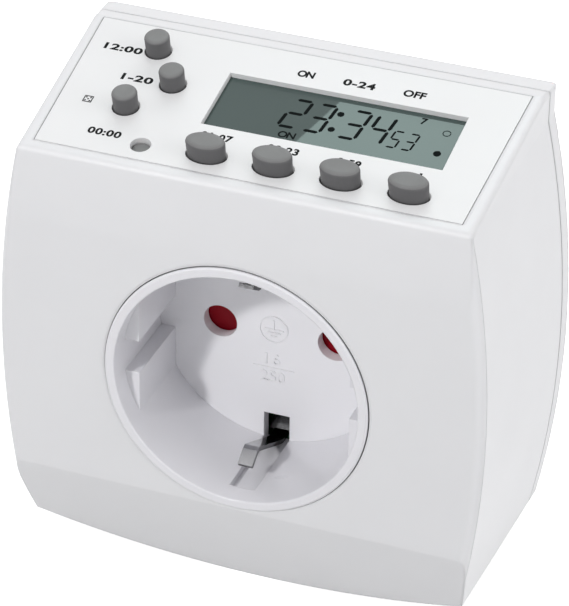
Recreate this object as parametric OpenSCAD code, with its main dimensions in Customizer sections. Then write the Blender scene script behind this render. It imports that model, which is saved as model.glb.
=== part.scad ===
// Plug-in weekly timer switch with an earthed socket in front and an earthed plug behind.
// Frame: X to the right, Z up, Y towards the wall. The origin is midway between the two plug
// pins, on the face of the plug that they stand out of.

/* [Housing] */
// Depth of the housing, from the flat of its front to the face that meets the wall
body_depth = 38.6; // [36:0.2:46]
// Width across the barrel-shaped sides, at the front
body_w = 78.3; // [72:0.2:94]
// Radius of the barrel curve of each side, seen from the front
side_r = 164; // [130:1:260]
// Height of the widest point of the sides, from the socket axis
side_mid_z = 0; // [-5:0.5:5]
// Angle by which each side widens towards the wall
side_draft = 2.4; // [0:0.1:3]
// Height of the crease between front and control panel, above the socket axis
crease_h = 34.1; // [32:0.1:41]
// Depth of the lowest point of the housing below the socket axis
bottom_h = 38.7; // [37:0.1:46]
// Radius of the bowed bottom, seen from the front
bottom_r = 130; // [110:1:300]
// Wall thickness of both shells
wall = 2; // [1.6:0.1:2.4]
// Radius of the rounded edge between front and sides
front_edge_r = 1.5; // [1:0.1:3]
// Thickness of the rear cover that shows from the side
rear_slice = 3.6; // [3:0.1:4.5]
// Width of the shadow line where the two shells meet
shadow_gap = 0.3; // [0.1:0.05:0.5]

/* [Front face] */
// Height above the socket axis where the flat of the front ends
upper_break = 22.9; // [22.6:0.1:25]
// Depth below the socket axis where the flat of the front ends
lower_break = 21.8; // [21.7:0.1:24]
// How far the front has curved back at its lower edge
lower_setback = 6.9; // [3:0.1:8]
// Radius of the lower curve of the front
lower_r = 180; // [60:5:300]
// How far the front has curved back at the crease
upper_setback = 1.2; // [0.5:0.1:1.6]
// Radius of the upper curve of the front
upper_r = 110; // [80:1:200]
// Radius of the rounded crease
crease_r = 1.1; // [0.4:0.1:1.5]

/* [Control panel] */
// Slope of the control panel above the horizontal
panel_slope = 12.8; // [8:0.5:16]
// Length of the control panel up its slope
panel_len = 33.2; // [32:0.1:35]
// Drop of the ledge behind the panel, from its front to the wall side
ledge_drop = 0.6; // [0:0.1:1.2]
// Radius of the rounded side edges of the panel
panel_edge_r = 0.8; // [0.3:0.1:1.2]
// Width of the block under the panel, at the crease
top_front_w = 71.2; // [68:0.1:74]
// Width of the block under the panel, at the wall
top_rear_w = 73.4; // [70:0.1:76]
// Width of the inset plate at its lower end
plate_front_w = 67; // [64:0.1:67.4]
// Width of the inset plate at its upper end
plate_rear_w = 69.6; // [66:0.1:70]
// Distance of the plate's lower edge from the crease
plate_low = 3.1; // [2.8:0.1:3.6]
// Thickness of the inset plate
plate_t = 1.3; // [1:0.1:1.6]
// Gap all round the inset plate
plate_gap = 0.12; // [0.05:0.01:0.2]

/* [Display] */
// Width of the display window
window_w = 37.95; // [31:0.05:38]
// Height of the display window, up the slope
window_h = 12.25; // [10:0.05:12.6]
// Centre of the display window to the right of the middle
window_x = 8.13; // [7:0.01:9]
// Centre of the display window up the slope from the crease
window_t = 19.57; // [19.2:0.01:20]
// Edge of the display cell that the plate covers, on each side
cell_margin = 1.5; // [1.2:0.1:1.8]
// Thickness of the display cell
cell_t = 2; // [1.6:0.1:2.2]
// Height of the contact strips between the display cell and its board
strip_h = 2.6; // [2.4:0.1:3]

/* [Keys] */
// Radius of a round key
round_key_r = 1.96; // [1.7:0.02:2.4]
// Height of a round key above the panel
round_key_h = 3.05; // [1.5:0.05:3.6]
// Half length of an oval key, across the panel
oval_key_a = 3.1; // [2.6:0.05:3.6]
// Half width of an oval key, up the slope
oval_key_b = 1.95; // [1.6:0.05:2.2]
// Height of an oval key above the panel
oval_key_h = 3; // [1.5:0.1:3.4]
// Spacing of the row of oval keys
oval_pitch = 10.51; // [9.4:0.01:11]
// Radius of the recessed reset key
reset_key_r = 1.4; // [1:0.05:1.5]
// Depth of the reset key's top below the panel
reset_recess = 0.9; // [0.5:0.1:1.2]
// Gap between a key and its hole in the plate
key_gap = 0.2; // [0.15:0.01:0.3]
// Travel of a key
key_travel = 0.8; // [0.4:0.1:0.9]

/* [Socket] */
// Radius of the socket recess
recess_r = 19.7; // [19.5:0.05:20]
// Depth of the socket recess
recess_depth = 17.8; // [17.5:0.1:19]
// Height of the socket's rim above the flat of the front
rim_h = 0.4; // [0.2:0.05:0.6]
// Outer radius of the socket insert, the ring that shows in the front
insert_r = 21.3; // [21:0.05:21.5]
// Gap round the socket insert in the front
insert_gap = 0.15; // [0.1:0.05:0.3]
// Thickness of the recess floor
floor_t = 2; // [1.6:0.1:2.4]
// Distance of the two flat guides from the socket axis
guide_x = 17.1; // [16.6:0.1:17.4]
// Depth at which the flat guides start
guide_set = 3.4; // [2:0.1:5]
// Half height of the groove between the upper and lower guide
guide_groove = 2.85; // [2.5:0.05:3.5]
// Radius of a socket pin hole
hole_r = 2.8; // [2.6:0.05:2.85]
// Width of each earth strap
earth_w = 4; // [3:0.1:4.4]
// Width of the sprung end of an earth strap
earth_clip_w = 2.4; // [2:0.1:3]
// Distance of a sprung end's crest from the socket axis
earth_reach = 14.4; // [14.2:0.1:15.4]
// Sideways place of the earth straps
earth_x = 0.1; // [-0.5:0.1:0.6]
// Thickness of the contact metal
metal_t = 0.7; // [0.5:0.05:0.8]

/* [Plug] */
// Spacing of the two plug pins and of the socket pin holes
pin_pitch = 19; // [19:0.1:19.2]
// Radius of a plug pin
pin_r = 2.4; // [2.35:0.01:2.42]
// Length of a plug pin
pin_len = 19; // [18.5:0.1:19.5]
// Length of the plug body
plug_len = 17.5; // [16.5:0.1:18.2]
// Radius of the plug body
plug_r = 18.7; // [18.2:0.1:19]
// Distance of the plug's side flats from its axis
plug_flat = 16.2; // [15.8:0.1:16.4]
// Thickness of the plug face
plug_face_t = 3; // [2.5:0.1:3.6]

/* [Shutter] */
// Thickness of the shutter
shutter_t = 1.6; // [1.2:0.1:1.9]
// Radius of the pin that the shutter turns on
pivot_r = 2; // [1.6:0.1:2.2]
// Running clearance of the shutter on its pin
pivot_gap = 0.05; // [0.02:0.01:0.08]
// Half angle of each shutter wing
wing_angle = 20; // [19:0.5:21]

/* [Hidden] */
$fn = 64;

big_fn = 270;          // arcs of the large housing curves
eps = 0.02;            // overlap of cutters past a face
far = 400;             // reach of half-space blocks
air = 0.3;             // gap between pieces that move past each other

front_y = -(plug_len + body_depth);
wall_y = -plug_len;
split_d = body_depth - rear_slice;
half_w = body_w / 2;
back_edge_r = 1;       // rounding of the edge that meets the wall

// Panel geometry in the Y-Z plane, from the front
panel_run = panel_len * cos(panel_slope);
panel_rise = panel_len * sin(panel_slope);
ledge_z = crease_h + panel_rise;
rim_t = 3.2;           // thickness of the shell under the panel
board_t = 1.6;
board_h = -(plate_t + cell_t + strip_h);   // top of the control board below the panel

// Places of the keys on the panel: across, and up the slope
round_keys = [[-23.37, 27.52], [-18.22, 20.67], [-23.12, 13.92]];
reset_key = [-17.65, 6.4];
oval_first = -7.35;
oval_t = 7.03;
flange_t = 0.7;
flange_w = 0.6;
stem_r = 1.1;
switch_w = 5.2;
switch_gap = 0.35;     // play of a key's stem in its switch
flange_h = -(plate_t + air);
switch_h = flange_h - flange_t - key_travel - air;
stem_end = board_h + key_travel + air + 0.2;

// Depths behind the front
floor_d = recess_depth + floor_t;
shutter_d = floor_d + air;
spring_d = shutter_d + shutter_t + air;
spring_wire = 0.45;
spring_turns = 2.5;
spring_pitch = 0.6;
washer_t = 0.6;
washer_d = spring_d + spring_turns * spring_pitch + spring_wire + air;
pivot_end = washer_d + washer_t + 0.5;
main_d = floor_d + 4.2;                    // front of the main board
main_back = main_d + board_t;
clip_front = main_d - 0.9;
clip_back = recess_depth + pin_len + 1;    // past the tip of a plug pin in the socket
clip_gap = pin_r - 0.15;
clip_w = 5;
pin_root_d = body_depth + plug_len - plug_face_t - 4.9;
pin_root_r = 2;        // a pin is thinner where the plug body holds it
pin_relief = 0.6;      // depth of the ring round a pin in the plug face
pin_relief_gap = 0.1;

flange_r = insert_r + 1.4;
insert_hole = [0.06, 0, 0.09];  // the insert rests low in its hole
insert_foot_a = 16;
pin_x = pin_pitch / 2;

// Screw posts: across and up from the socket axis
post_x = [31.5, 29];
post_z = [19, -25];
post_r = 3;
screw_r = 1.25;
head_r = 2.8;
head_t = 1.8;

// Plug body: depth of the earth grooves and the hollow inside
earth_z = 16.6;        // outer face of the plug's earth contacts
hollow_x = plug_flat - 2.2;
hollow_z = earth_z - metal_t - 2.2;
hollow_r = plug_r - 2.3;
plug_fit = 0.1;        // gap round the plug body in the rear cover
plug_flange_t = 1.2;

/* ---------- helpers ---------- */

// Moves a piece drawn from the flat of the front to its place
module from_front() {
    translate([0, front_y, 0]) children();
}

// Place on the control panel: across, up the slope, and height above the surface
module on_panel(x = 0, t = 0, h = 0) {
    from_front() translate([0, 0, crease_h]) rotate([panel_slope, 0, 0]) translate([x, t, h]) children();
}

// Extrudes an outline drawn in X and Z along Y, from depth a to depth b
module slab(a, b) {
    translate([0, b, 0]) rotate([90, 0, 0]) linear_extrude(height = b - a) children();
}

// Extrudes an outline drawn in Y and Z along X, from a to b
module sweep_x(a, b) {
    translate([a, 0, 0]) rotate([90, 0, 90]) linear_extrude(height = b - a) children();
}

// Turns a revolved shape so that its axis lies along Y, starting at depth d
module along_y(d = 0) {
    translate([0, d, 0]) rotate([-90, 0, 0]) children();
}

// Rod along Y from depth a to depth b, at x and z
module rod(x, z, a, b, r) {
    translate([x, a, z]) rotate([-90, 0, 0]) cylinder(r = r, h = b - a);
}

// Box given by its two corners
module block(low, high) {
    translate(low) cube(high - low);
}

// Both sides: the piece and its mirror image across the middle
module both() {
    children();
    mirror([1, 0, 0]) children();
}

// Centre of the circle of radius r through p and q, on the side that n points to
function arc_centre(p, q, r, n) =
    let (m = (p + q) / 2, d = q - p, l = norm(d), u = [-d[1], d[0]] / l,
         s = (u * n > 0) ? 1 : -1)
    m + u * s * sqrt(r * r - l * l / 4);

function unit(v) = v / norm(v);
function left_of(v) = [-v[1], v[0]];

// Normal at point i of an open line, lengthened at a bend so that the strip keeps its width
function bend_normal(p, i) =
    let (last = len(p) - 1,
         a = left_of(unit(p[max(i, 1)] - p[max(i, 1) - 1])),
         b = left_of(unit(p[min(i, last - 1) + 1] - p[min(i, last - 1)])),
         m = unit(a + b))
    m / (m * a);

// Outline of a strip of thickness t along an open line
function ribbon(p, t) = concat(
    [for (i = [0 : len(p) - 1]) p[i] + bend_normal(p, i) * t / 2],
    [for (i = [len(p) - 1 : -1 : 0]) p[i] - bend_normal(p, i) * t / 2]);

/* ---------- outer form of the housing ---------- */

lower_start = [0, -lower_break];
lower_end = [lower_setback, -bottom_h];
lower_c = arc_centre(lower_start, lower_end, lower_r, [1, 0]);
upper_start = [0, upper_break];
upper_end = [upper_setback, crease_h + upper_setback * tan(panel_slope)];
upper_c = arc_centre(upper_start, upper_end, upper_r, [1, 0]);

panel_n = [-sin(panel_slope), cos(panel_slope)];
panel_d = [cos(panel_slope), sin(panel_slope)];

// Centre of the crease's rounding, r inside both the panel and the upper curve
function crease_c(r) =
    let (v = [0, crease_h] - panel_n * r - upper_c,
         b = v * panel_d, c = v * v - pow(upper_r - r, 2))
    upper_c + v + panel_d * (-b - sqrt(b * b - c));

// Side outline in Y and Z: front, panel and ledge, w inside the surface and p inside the panel
module side_outline(w = 0, p = 0) {
    lift = p / cos(panel_slope);
    ahead = (w == 0) ? -5 : w;     // the flat of the front itself is the face of the side discs
    difference() {
        polygon([[ahead, -far], [ahead, crease_h + ahead * tan(panel_slope) - lift],
                 [panel_run, ledge_z - lift], [body_depth, ledge_z - ledge_drop - lift],
                 [body_depth + 5, ledge_z - ledge_drop - lift], [body_depth + 5, -far]]);
        difference() {
            translate([-6, -far]) square([lower_c[0] + 6, far + lower_c[1]]);
            translate(lower_c) circle(r = lower_r - w, $fn = big_fn);
        }
        difference() {
            translate([-6, upper_c[1]]) square([26, crease_h - upper_c[1] + 6]);
            translate(upper_c) circle(r = upper_r - w, $fn = big_fn);
        }
        if (w == 0) {
            c = crease_c(crease_r);
            on_arc = c + unit(c - upper_c) * crease_r;
            on_panel_line = c + panel_n * crease_r;
            difference() {
                polygon([on_arc, c + ((on_arc + on_panel_line) / 2 - c) * 1.7, on_panel_line, c]);
                translate(c) circle(r = crease_r);
            }
        }
    }
}

// Radius of the side's curve at depth d
function side_rad(d) = side_r + d * tan(side_draft);
// Half width of the block under the panel, at depth d
function top_half(d) = (top_front_w + (top_rear_w - top_front_w) * d / body_depth) / 2;

// Disc whose rim is the right-hand side, with rounded front and rear edges
module side_disc(w) {
    r0 = side_rad(0) - w;
    r1 = side_rad(body_depth) - w;
    e = front_edge_r;
    back_e = back_edge_r;
    translate([half_w - side_r, 0, side_mid_z]) along_y()
        rotate_extrude($fn = big_fn)
            union() {
                difference() {
                    polygon([[0, 0], [r0, 0], [r1, body_depth], [0, body_depth]]);
                    if (w == 0) {
                        translate([r0 - e, -1]) square([e + 1, e + 1]);
                        translate([r1 - back_e, body_depth - back_e]) square([2, 2]);
                    }
                }
                if (w == 0) {
                    intersection() {
                        translate([r0 - e, e]) circle(r = e);
                        translate([r0 - 2 * e, 0]) square([2 * e, e]);
                    }
                    intersection() {
                        translate([r1 - back_e, body_depth - back_e]) circle(r = back_e);
                        translate([r1 - back_e, body_depth - back_e]) square(back_e);
                    }
                }
            }
}

// Outline of the right half of the block under the panel, with rounded corners
module wedge_half(w) {
    e = front_edge_r;
    polygon(concat(
        [[0, 0]],
        [for (t = [90 : -15 : 0]) [top_half(e) - w - e + e * cos(t), e - e * sin(t)]],
        [for (t = [0 : 30 : 90])
            [top_half(body_depth) - w - back_edge_r * (1 - cos(t)), body_depth - back_edge_r * (1 - sin(t))]],
        [[0, body_depth]]));
}

// Housing form, w inside its surface, and p inside the panel
module form(w = 0, p = 0) {
    intersection() {
        sweep_x(-far / 2, far / 2) side_outline(w, p);
        union() {
            intersection() {
                side_disc(w);
                mirror([1, 0, 0]) side_disc(w);
                translate([0, -1, bottom_r - bottom_h]) along_y()
                    cylinder(r = bottom_r - w, h = body_depth + 2, $fn = big_fn);
            }
            translate([0, 0, crease_h - 2]) linear_extrude(height = panel_rise + 4) both() wedge_half(w);
        }
    }
}

// Cutter that rounds a straight edge: the edge runs along Y, the solid lies at -X and -Z of it
module edge_round(l, r) {
    rotate([90, 0, 0]) mirror([0, 0, 1]) linear_extrude(height = l)
        difference() {
            translate([-r, -r]) square(r + 1);
            translate([-r, -r]) circle(r = r);
        }
}

// Rounds the side edges of the panel and of the ledge
module panel_edges() {
    flare = atan((top_half(body_depth) - top_half(0)) / body_depth);
    both() {
        translate([0, 0, crease_h]) rotate([panel_slope, 0, 0])
            translate([top_half(0), -1, 0]) rotate([0, 0, -flare])
                edge_round(panel_len + 1, panel_edge_r);
        translate([top_half(panel_run), panel_run, ledge_z]) rotate([0, 0, -flare])
            edge_round(body_depth, panel_edge_r);
    }
}

/* ---------- inset plate outline ---------- */

// Half width of the plate at t up the slope, g inside its edge
function plate_half(t, g = 0) = (plate_front_w + (plate_rear_w - plate_front_w) * t / panel_len) / 2 - g;

// Outline of the plate, g inside its edge
module plate_outline(g = 0) {
    low = plate_low + g;
    high = panel_len - 0.2 - g;
    polygon([[-plate_half(low, g), low], [plate_half(low, g), low],
             [plate_half(high, g), high], [-plate_half(high, g), high]]);
}

/* ---------- shells ---------- */

// Places of the four screws that join the shells
module at_screws() {
    for (i = [0, 1], s = [-1, 1]) translate([s * post_x[i], 0, post_z[i]]) children();
}

seat_w = 1.6;          // width of the seat that carries the plate at its sides
opening_low = plate_low + 0.6;
board_post_t = [6, 29];
board_post_r = 2;
board_screw_r = 0.9;

// Places of the four screws of the control board, on the panel
module at_board_screws() {
    for (t = board_post_t, s = [-1, 1]) translate([s * (plate_half(t) - 2.4), t, 0]) children();
}

module front_shell() color("white") {
    difference() {
        union() {
            from_front() difference() {
                form();
                panel_edges();
                block([-far, split_d, -far], [far, far, far]);
                intersection() {
                    form(wall, rim_t);
                    block([-far, wall, -far], [far, far, far]);
                }
                // shadow line at the joint with the rear cover
                difference() {
                    block([-far, split_d - shadow_gap, -far], [far, far, far]);
                    form(shadow_gap, shadow_gap);
                }
            }
            from_front() intersection() {
                form(wall / 2, rim_t / 2);
                at_screws() rod(0, 0, wall / 2, split_d, post_r);
            }
            // collar that centres the flange of the socket insert
            from_front() along_y(wall - 0.5) cylinder(r = flange_r + 1.4, h = 3);
            on_panel() at_board_screws() translate([0, 0, board_h])
                cylinder(r = board_post_r, h = -board_h - plate_t);
        }
        // hole for the socket insert
        from_front() translate(insert_hole) along_y(-1)
            cylinder(r = insert_r + insert_gap, h = wall + 2, $fn = 128);
        from_front() along_y(wall) cylinder(r = flange_r + 0.1, h = 3, $fn = 128);
        // seat of the inset plate and the opening under it
        on_panel(h = -plate_t) linear_extrude(height = plate_t + 1) plate_outline();
        on_panel(h = -(rim_t + 2)) linear_extrude(height = rim_t + 2) difference() {
            polygon([[-plate_half(opening_low, seat_w), opening_low], [plate_half(opening_low, seat_w), opening_low],
                     [plate_half(panel_len, seat_w), panel_len - seat_w],
                     [-plate_half(panel_len, seat_w), panel_len - seat_w]]);
            at_board_screws() circle(r = board_post_r);
        }
        from_front() at_screws() rod(0, 0, wall + 4, split_d + 1, screw_r);
        on_panel() at_board_screws() translate([0, 0, board_h - 1]) cylinder(r = board_screw_r, h = 4);
    }
}

// Section of the plug body, g inside its surface
module plug_section(g = 0) {
    union() {
        intersection() {
            circle(r = plug_r - g, $fn = 128);
            square([2 * (plug_flat - g), 2 * plug_r], center = true);
        }
        // keys that run in the grooves between a socket's guides
        intersection() {
            circle(r = plug_r - g, $fn = 128);
            square([2 * plug_r, 2 * (guide_groove - 0.5 - g)], center = true);
        }
    }
}

module plug_hollow() {
    intersection() {
        circle(r = hollow_r, $fn = 128);
        square([2 * hollow_x, 2 * hollow_z], center = true);
    }
}

board_props = [[26, 12], [22, -20]];

module rear_cover() color("white") {
    from_front() difference() {
        union() {
            difference() {
                form();
                panel_edges();
                block([-far, -far, -far], [far, split_d, far]);
                intersection() {
                    form(wall, wall);
                    block([-far, -far, -far], [far, body_depth - wall, far]);
                }
            }
            // lip that fits inside the front shell
            intersection() {
                difference() {
                    form(wall + 0.1, rim_t + 0.1);
                    form(wall + 1.3, rim_t + 1.3);
                }
                block([-far, split_d - 1.5, -far], [far, body_depth - wall / 2, far]);
            }
            // seats of the screws
            at_screws() rod(0, 0, split_d, body_depth - 0.5, post_r + 1);
            // props behind the main board
            for (p = board_props) both() rod(p[0], p[1], main_back, body_depth - 0.5, 2);
        }
        // opening for the plug body
        slab(body_depth - wall - 1, body_depth + 1) plug_section(-plug_fit);
        at_screws() {
            rod(0, 0, split_d - 2, body_depth + 1, screw_r + 0.3);
            rod(0, 0, body_depth - head_t, body_depth + 1, head_r + 0.2);
        }
    }
}

// Plug body, with a flange behind the rear cover and grooves for the earth straps
module plug_body() color("white") {
    back_d = body_depth + plug_len;
    flange_d = body_depth - wall - plug_flange_t;
    from_front() difference() {
        union() {
            slab(flange_d, back_d) plug_section();
            along_y(flange_d) cylinder(r = plug_r + 1.5, h = plug_flange_t, $fn = 128);
        }
        slab(flange_d - 1, back_d - plug_face_t) plug_hollow();
        for (s = [-1, 1]) scale([1, 1, s])
            block([earth_x - earth_w / 2 - 0.4, flange_d - 1, earth_z - metal_t - 0.1],
                  [earth_x + earth_w / 2 + 0.4, back_d + 1, plug_r + 3]);
        for (s = [-1, 1]) {
            rod(s * pin_x, 0, back_d - plug_face_t - 1, back_d + 1, pin_root_r);
            rod(s * pin_x, 0, back_d - pin_relief, back_d + 1, pin_r + pin_relief_gap);
        }
    }
}

module panel_plate() color("white") on_panel(h = -plate_t) difference() {
    linear_extrude(height = plate_t) plate_outline(plate_gap);
    translate([0, 0, -1]) {
        translate([window_x - window_w / 2, window_t - window_h / 2, 0])
            cube([window_w, window_h, plate_t + 2]);
        for (k = round_keys) translate([k[0], k[1], 0])
            cylinder(r = round_key_r + key_gap, h = plate_t + 2);
        for (i = [0 : 3]) translate([oval_first + i * oval_pitch, oval_t, 0])
            scale([(oval_key_a + key_gap) / (oval_key_b + key_gap), 1, 1])
                cylinder(r = oval_key_b + key_gap, h = plate_t + 2);
        translate([reset_key[0], reset_key[1], 0])
            cylinder(r = reset_key_r + key_gap, h = plate_t + 2);
    }
}

module housing_screws() color("silver") from_front() at_screws() difference() {
    union() {
        rod(0, 0, body_depth - head_t, body_depth - 0.1, head_r);
        rod(0, 0, split_d - 8, body_depth - head_t + eps, screw_r);
    }
    // cross recess of the head
    for (a = [45, 135]) translate([0, body_depth, 0]) rotate([0, a, 0])
        cube([3, 1.6, 0.6], center = true);
}

module board_screws() color("silver") on_panel() at_board_screws() translate([0, 0, board_h - board_t]) {
    translate([0, 0, -1.1]) cylinder(r = 1.7, h = 1.1);
    translate([0, 0, -eps]) cylinder(r = board_screw_r, h = board_t + 2.5);
}

/* ---------- display ---------- */

cell_x0 = window_x - window_w / 2 - cell_margin;
cell_x1 = window_x + window_w / 2 + cell_margin;
cell_t0 = window_t - window_h / 2 - cell_margin;
cell_t1 = window_t + window_h / 2 + cell_margin;

module display_cell() color("darkgray") on_panel()
    block([cell_x0, cell_t0, -plate_t - cell_t], [cell_x1, cell_t1, -plate_t]);

module display_frame() color("gainsboro") on_panel() difference() {
    block([cell_x0 - 0.8, cell_t0 - 0.8, board_h], [cell_x1 + 0.8, cell_t1 + 0.8, -plate_t - 0.2]);
    block([cell_x0 - 0.1, cell_t0 - 0.1, board_h - 1], [cell_x1 + 0.1, cell_t1 + 0.1, 0]);
}

module contact_strips() color("dimgray") on_panel() {
    for (t = [cell_t0 + 0.2, cell_t1 - 2.2])
        block([cell_x0 + 1, t, board_h], [cell_x1 - 1, t + 2, -plate_t - cell_t]);
}

module control_board() color("darkgreen") on_panel() difference() {
    low = plate_low + 0.9;
    high = panel_len - 1.6;
    inset = 0.8;
    translate([0, 0, board_h - board_t]) linear_extrude(height = board_t)
        polygon([[-plate_half(low, inset), low], [plate_half(low, inset), low],
                 [plate_half(high, inset), high], [-plate_half(high, inset), high]]);
    at_board_screws() translate([0, 0, board_h - board_t - 1])
        cylinder(r = board_screw_r + 0.2, h = board_t + 2);
}

// Places of all keys on the panel
module at_keys() {
    for (k = concat(round_keys, [reset_key])) translate([k[0], k[1], 0]) children();
    for (i = [0 : 3]) translate([oval_first + i * oval_pitch, oval_t, 0]) children();
}

module key_switches() color("black") on_panel() at_keys() difference() {
    block([-switch_w / 2, -switch_w / 2, board_h], [switch_w / 2, switch_w / 2, switch_h]);
    translate([0, 0, board_h + 0.2]) cylinder(r = stem_r + switch_gap, h = 10);
}

/* ---------- keys ---------- */

// Revolved key with a rounded rim and a flange under the plate; n sets the steps of the rim
module key_turned(r, top, n = 48) {
    rim = min(0.55, r / 3);
    neck = r - 0.04;
    rotate_extrude() {
        polygon([[0, flange_h - flange_t], [r + flange_w, flange_h - flange_t], [r + flange_w, flange_h],
                 [r, flange_h], [neck, (flange_h + top) / 2], [r, top - rim], [r - rim, top], [0, top]]);
        intersection() {
            translate([r - rim, top - rim]) circle(r = rim, $fn = n);
            translate([r - rim - eps, top - rim - eps]) square(rim + 1);
        }
    }
}

module key_stem() {
    translate([0, 0, stem_end]) cylinder(r = stem_r, h = flange_h - flange_t - stem_end + eps);
}

module round_key(i) color("gray") on_panel(round_keys[i][0], round_keys[i][1]) {
    key_turned(round_key_r, round_key_h);
    key_stem();
}

module oval_key(i) color("gray") on_panel(oval_first + i * oval_pitch, oval_t) {
    $fn = 40;
    scale([oval_key_a / oval_key_b, 1, 1]) key_turned(oval_key_b, oval_key_h, 12);
    key_stem();
}

module key_clock() round_key(0);
module key_program() round_key(1);
module key_random() round_key(2);
module key_day() oval_key(0);
module key_hour() oval_key(1);
module key_minute() oval_key(2);
module key_mode() oval_key(3);

module key_reset() color("gray") on_panel(reset_key[0], reset_key[1]) {
    translate([0, 0, flange_h - flange_t]) cylinder(r = reset_key_r + flange_w, h = flange_t);
    translate([0, 0, flange_h - eps]) cylinder(r = reset_key_r, h = -reset_recess - flange_h + eps);
    key_stem();
}

/* ---------- socket ---------- */

lip_r = 0.25;
rim_edge = 0.3;
seat_r = recess_r + 0.4;   // step behind the recess that the floor sits in
floor_fit = 0.05;

// Section of the insert's wall, as radius against depth
module insert_profile() {
    polygon([[recess_r, recess_depth], [recess_r, lip_r - rim_h], [recess_r + lip_r, -rim_h],
             [insert_r - rim_edge, -rim_h], [insert_r, rim_edge - rim_h], [insert_r, wall], [flange_r, wall], [flange_r, wall + 1.5],
             [insert_r, wall + 1.5], [insert_r, floor_d], [seat_r, floor_d], [seat_r, recess_depth]]);
    intersection() {
        translate([recess_r + lip_r, lip_r - rim_h]) circle(r = lip_r, $fn = 48);
        translate([recess_r, -rim_h]) square(lip_r + eps);
    }
}

// Flat guides on both sides of the recess, cut by the groove
module guides() {
    difference() {
        intersection() {
            along_y(guide_set) cylinder(r = insert_r - 0.5, h = recess_depth - guide_set);
            both() block([guide_x, 0, -far], [far, far, far]);
        }
        block([-far, 0, -guide_groove], [far, recess_depth, guide_groove]);
    }
}

module socket_insert() color("white") from_front() difference() {
    union() {
        along_y() rotate_extrude($fn = 128) insert_profile();
        guides();
        // feet that the main board rests against
        intersection() {
            along_y(floor_d - 1) difference() {
                cylinder(r = insert_r, h = main_d - floor_d + 1);
                translate([0, 0, -1]) cylinder(r = seat_r, h = 9);
            }
            for (a = [45 : 90 : 315]) rotate([0, a, 0])
                block([insert_r - 4, 0, -insert_r * sin(insert_foot_a / 2)],
                      [far, far, insert_r * sin(insert_foot_a / 2)]);
        }
    }
    // channels for the earth straps
    for (s = [-1, 1]) scale([1, 1, s])
        block([earth_x - earth_slot_w / 2, earth_channel_d, recess_r - 3],
              [earth_x + earth_slot_w / 2, floor_d + 1, recess_r + earth_channel_h]);
}

earth_slot_z = 15.1;   // inner end of each slot in the floor
earth_slot_w = earth_w + 0.3;
earth_channel_d = 3.1; // front end of each channel in the wall
earth_channel_h = 1;

module socket_floor() color("white") from_front() difference() {
    union() {
        along_y(recess_depth) cylinder(r = seat_r - floor_fit, h = floor_t);
        // pin that the shutter turns on
        rod(0, 0, floor_d - eps, pivot_end, pivot_r);
    }
    for (s = [-1, 1]) {
        rod(s * pin_x, 0, recess_depth - 1, floor_d + 1, hole_r);
        scale([1, 1, s]) block([earth_x - earth_slot_w / 2, recess_depth - 1, earth_slot_z],
                               [earth_x + earth_slot_w / 2, floor_d + 1, far]);
    }
}

module shutter() color("darkred") from_front() along_y(shutter_d) difference() {
    union() {
        cylinder(r = pivot_r + 1.8, h = shutter_t);
        linear_extrude(height = shutter_t) intersection() {
            circle(r = pin_x + hole_r + 0.9);
            union() for (a = [0, 180]) rotate(a)
                polygon([[0, 0], [far * cos(wing_angle), -far * sin(wing_angle)],
                         [far * cos(wing_angle), far * sin(wing_angle)]]);
        }
        // peg that the spring pushes on
        translate([5.5, 0, shutter_t - eps]) cylinder(r = 0.6, h = 1.4);
    }
    translate([0, 0, -1]) cylinder(r = pivot_r + pivot_gap, h = shutter_t + 3);
}

spring_r = pivot_r + 0.9;
spring_steps = 20;
spring_leg = 5;
spring_last = spring_steps * spring_turns;

// Centre line of the spring: a coil with a straight leg at each end
function spring_point(i) =
    let (k = min(max(i, 0), spring_last), a = k * 360 / spring_steps, leg = (i - k) * spring_leg)
    [spring_r * cos(a) - leg * sin(a), spring_r * sin(a) + leg * cos(a),
     spring_wire / 2 + k * spring_pitch / spring_steps];

// Round wire, swept as a closed tube of six sides
module shutter_spring() color("silver") from_front() along_y(spring_d) {
    n = spring_last + 2;
    sides = 6;
    points = [for (i = [-1 : spring_last + 1], k = [0 : sides - 1])
        let (p = spring_point(i), a = min(max(i, 0), spring_last) * 360 / spring_steps, b = k * 360 / sides)
        p + spring_wire / 2 * [cos(a) * cos(b), sin(a) * cos(b), sin(b)]];
    walls = [for (i = [0 : n - 1], k = [0 : sides - 1])
        let (j = (k + 1) % sides)
        [i * sides + k, i * sides + j, (i + 1) * sides + j, (i + 1) * sides + k]];
    ends = [[for (k = [sides - 1 : -1 : 0]) k], [for (k = [0 : sides - 1]) n * sides + k]];
    polyhedron(points = points, faces = concat(walls, ends), convexity = 6);
}

module shutter_washer() color("silver") from_front() along_y(washer_d) difference() {
    cylinder(r = pivot_r + 2, h = washer_t);
    translate([0, 0, -1]) cylinder(r = pivot_r, h = washer_t + 2);
}

/* ---------- contacts ---------- */

// Clip that grips a plug pin: two leaves with flared mouths, joined behind the pin's tip
clip_line = [
    [clip_front, clip_gap + 1.3], [clip_front + 1.6, clip_gap + 0.35], [clip_back - 1.5, clip_gap + 0.5],
    [clip_back, clip_gap - 0.6], [clip_back, -(clip_gap - 0.6)], [clip_back - 1.5, -(clip_gap + 0.5)],
    [clip_front + 1.6, -(clip_gap + 0.35)], [clip_front, -(clip_gap + 1.3)]
];

module clip() {
    sweep_x(pin_x - clip_w / 2, pin_x + clip_w / 2) polygon(ribbon(clip_line, metal_t));
}

tail_x = 15.3;
leaf_z = clip_gap + 0.4;

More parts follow.
